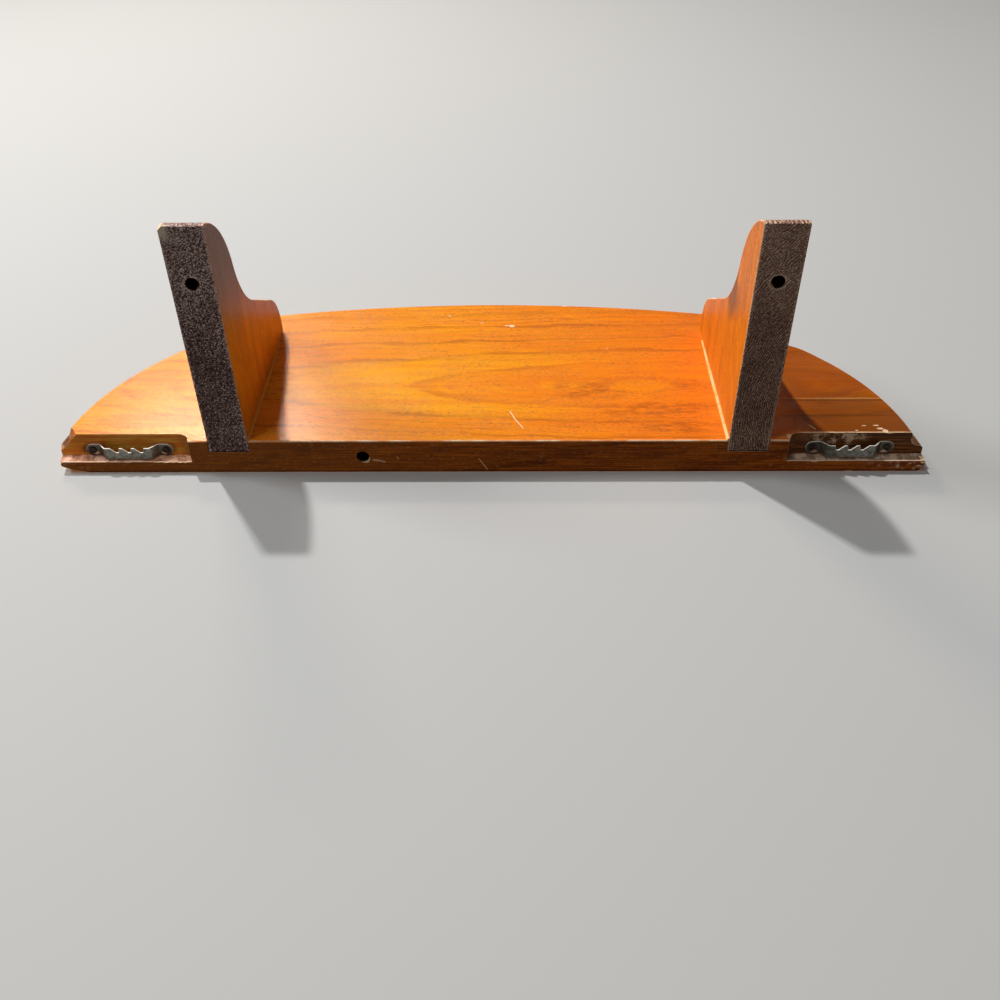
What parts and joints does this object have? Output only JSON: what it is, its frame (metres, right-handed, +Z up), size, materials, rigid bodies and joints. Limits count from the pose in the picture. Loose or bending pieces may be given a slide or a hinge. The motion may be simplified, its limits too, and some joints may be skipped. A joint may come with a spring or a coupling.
{
  "type": "wall shelf",
  "caption": "Small varnished wooden wall shelf with a serpentine moulded front, two curved brackets and sawtooth hangers let into its back edge.",
  "frame": {"origin": "middle of the board's back face, half way through the board's thickness", "axes": "+X along the shelf, +Y out of the back face into the wall, +Z up out of the top face; the curved front points to -Y"},
  "size_m": [0.4572, 0.151, 0.1392],
  "materials": {
    "board_wood": "gloss",
    "bracket_wood": "gloss",
    "hanger_steel": "satin",
    "nail_steel": "satin"
  },
  "bodies": {
    "root": {"shelf_board": "board_wood", "bracket_left": "bracket_wood", "bracket_right": "bracket_wood", "hanger_left": "hanger_steel", "hanger_right": "hanger_steel", "hanger_nail_left_inner": "nail_steel", "hanger_nail_left_outer": "nail_steel", "hanger_nail_right_inner": "nail_steel", "hanger_nail_right_outer": "nail_steel"}
  },
  "joints": []
}
